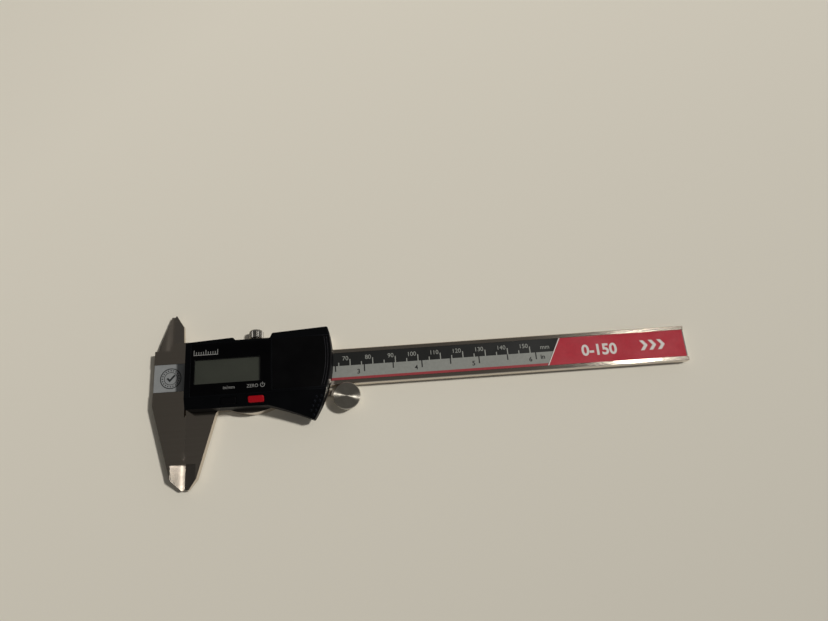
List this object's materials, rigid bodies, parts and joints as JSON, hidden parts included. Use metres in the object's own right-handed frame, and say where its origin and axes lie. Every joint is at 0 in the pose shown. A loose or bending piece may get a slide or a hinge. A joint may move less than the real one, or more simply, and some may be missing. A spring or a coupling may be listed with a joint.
{
  "type": "digital caliper",
  "caption": "Sliding digital caliper with outside and inside jaws, depth rod, printed scale, thumb roller, lock screw and a module with display and buttons.",
  "frame": {"origin": "middle of the closed caliper's bounding box, on the surface it lies on, back down", "axes": "+X along the beam towards its free end, +Y towards the inside jaws, +Z out of the display"},
  "size_m": [0.236, 0.077, 0.0138],
  "materials": {
    "satin_steel": "fine ground stainless steel",
    "bright_steel": "turned and knurled bright steel",
    "screw_steel": "small machine screws",
    "gib_brass": "phosphor bronze",
    "circuit_laminate": "glass-fibre laminate with solder mask",
    "printed_overlay": "printed scale film",
    "printed_label": "printed label",
    "black_housing": "fine-textured moulded ABS",
    "gloss_black": "polished display surround",
    "clear_lens": "clear display window",
    "lcd": "liquid crystal display, blank",
    "contact_rubber": "conductive rubber strip",
    "chip_resin": "resin over the chip",
    "board_parts": "chip capacitors and a quartz crystal",
    "contact_steel": "sprung contact plate",
    "battery_steel": "button cell",
    "black_button": "silicone key",
    "red_button": "silicone key"
  },
  "bodies": {
    "beam_assembly": {"beam": "satin_steel", "scale_board": "circuit_laminate", "scale_strip": "printed_overlay", "end_label": "printed_label", "jaw_label": "printed_label", "end_stop": "satin_steel", "end_stop_screws": "screw_steel"},
    "slider_assembly": {"slider": "satin_steel", "gib": "gib_brass", "gib_screws": "screw_steel", "lock_pad": "gib_brass", "depth_rod": "satin_steel", "rod_block": "satin_steel", "rod_screws": "screw_steel", "roller_axle": "screw_steel", "roller_bracket": "satin_steel", "bracket_screws": "screw_steel", "housing": "black_housing", "housing_screws": "screw_steel", "display_panel": "gloss_black", "display_window": "clear_lens", "lcd_glass": "lcd", "lcd_connector": "contact_rubber", "circuit_board": "circuit_laminate", "chip_cap": "chip_resin", "board_parts": "board_parts", "button_domes": "contact_steel", "battery": "battery_steel", "contact_negative": "contact_steel", "contact_positive": "contact_steel"},
    "roller": {"thumb_roller": "bright_steel"},
    "lock_knob": {"lock_screw": "bright_steel"},
    "unit_key": {"unit_button": "black_button"},
    "zero_key": {"zero_button": "red_button"},
    "door": {"battery_door": "black_housing"}
  },
  "joints": [
    {"name": "slider_slide", "type": "slide", "parent": "beam_assembly", "child": "slider_assembly", "axis": [1, 0, 0], "range_m": [0, 0.15]},
    {"name": "roller_spin", "type": "hinge", "parent": "slider_assembly", "child": "roller", "pos_m": [-0.0345, -0.00387, 0.004], "axis": [0, 0, 1], "range_deg": [0, 1606.4]},
    {"name": "lock_screw_turn", "type": "hinge", "parent": "slider_assembly", "child": "lock_knob", "pos_m": [-0.074, 0.027, 0.0032], "axis": [0, -1, 0], "range_deg": [0, 180]},
    {"name": "unit_button_press", "type": "slide", "parent": "slider_assembly", "child": "unit_key", "axis": [0, 0, -1], "range_m": [0, 0.0005], "stiffness_N_per_m": 1000},
    {"name": "zero_button_press", "type": "slide", "parent": "slider_assembly", "child": "zero_key", "axis": [0, 0, -1], "range_m": [0, 0.0005], "stiffness_N_per_m": 1000},
    {"name": "battery_door_slide", "type": "slide", "parent": "slider_assembly", "child": "door", "axis": [1, 0, 0], "range_m": [0, 0.024]}
  ],
  "couplings": [
    {"joint": "roller_spin", "follows": "slider_slide", "rad_per_m": 186.92}
  ]
}
